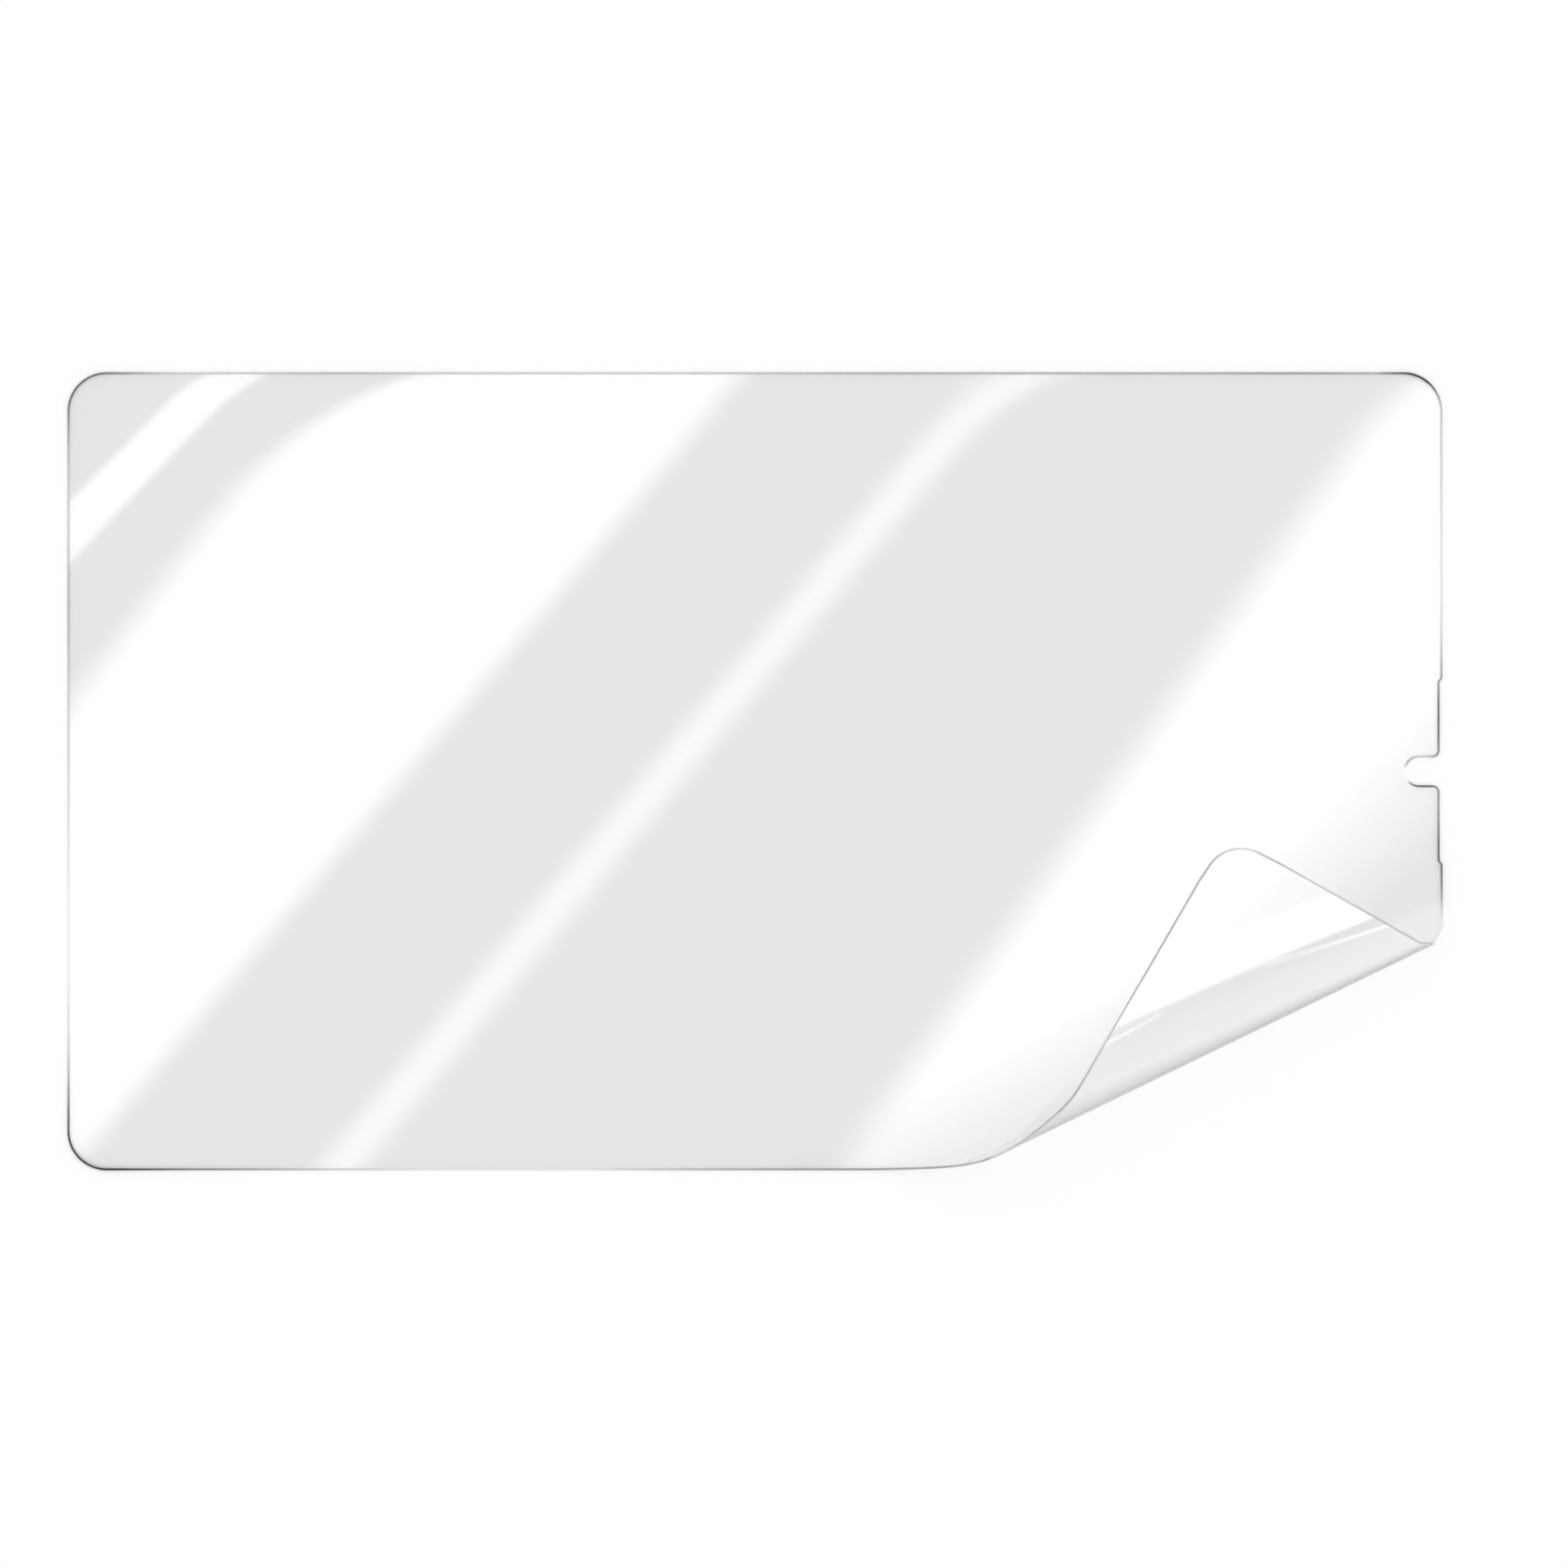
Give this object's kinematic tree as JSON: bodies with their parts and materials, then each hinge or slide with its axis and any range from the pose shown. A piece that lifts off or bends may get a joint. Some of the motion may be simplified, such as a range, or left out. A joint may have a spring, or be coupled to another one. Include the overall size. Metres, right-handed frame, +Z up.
{
  "type": "screen protector",
  "caption": "Clear flat film sheet with rounded corners and an edge slot, one corner curled over, that covers and protects a tablet screen.",
  "frame": {"origin": "middle of the underside of the sheet, on the surface it lies on", "axes": "+X along the long side towards the slotted short edge, +Y across the sheet away from the curled corner, +Z up out of the sheet"},
  "size_m": [0.206, 0.1196, 0.0099],
  "materials": {
    "clear_film": "clear gloss"
  },
  "bodies": {
    "root": {"screen_protector": "clear_film"}
  },
  "joints": []
}
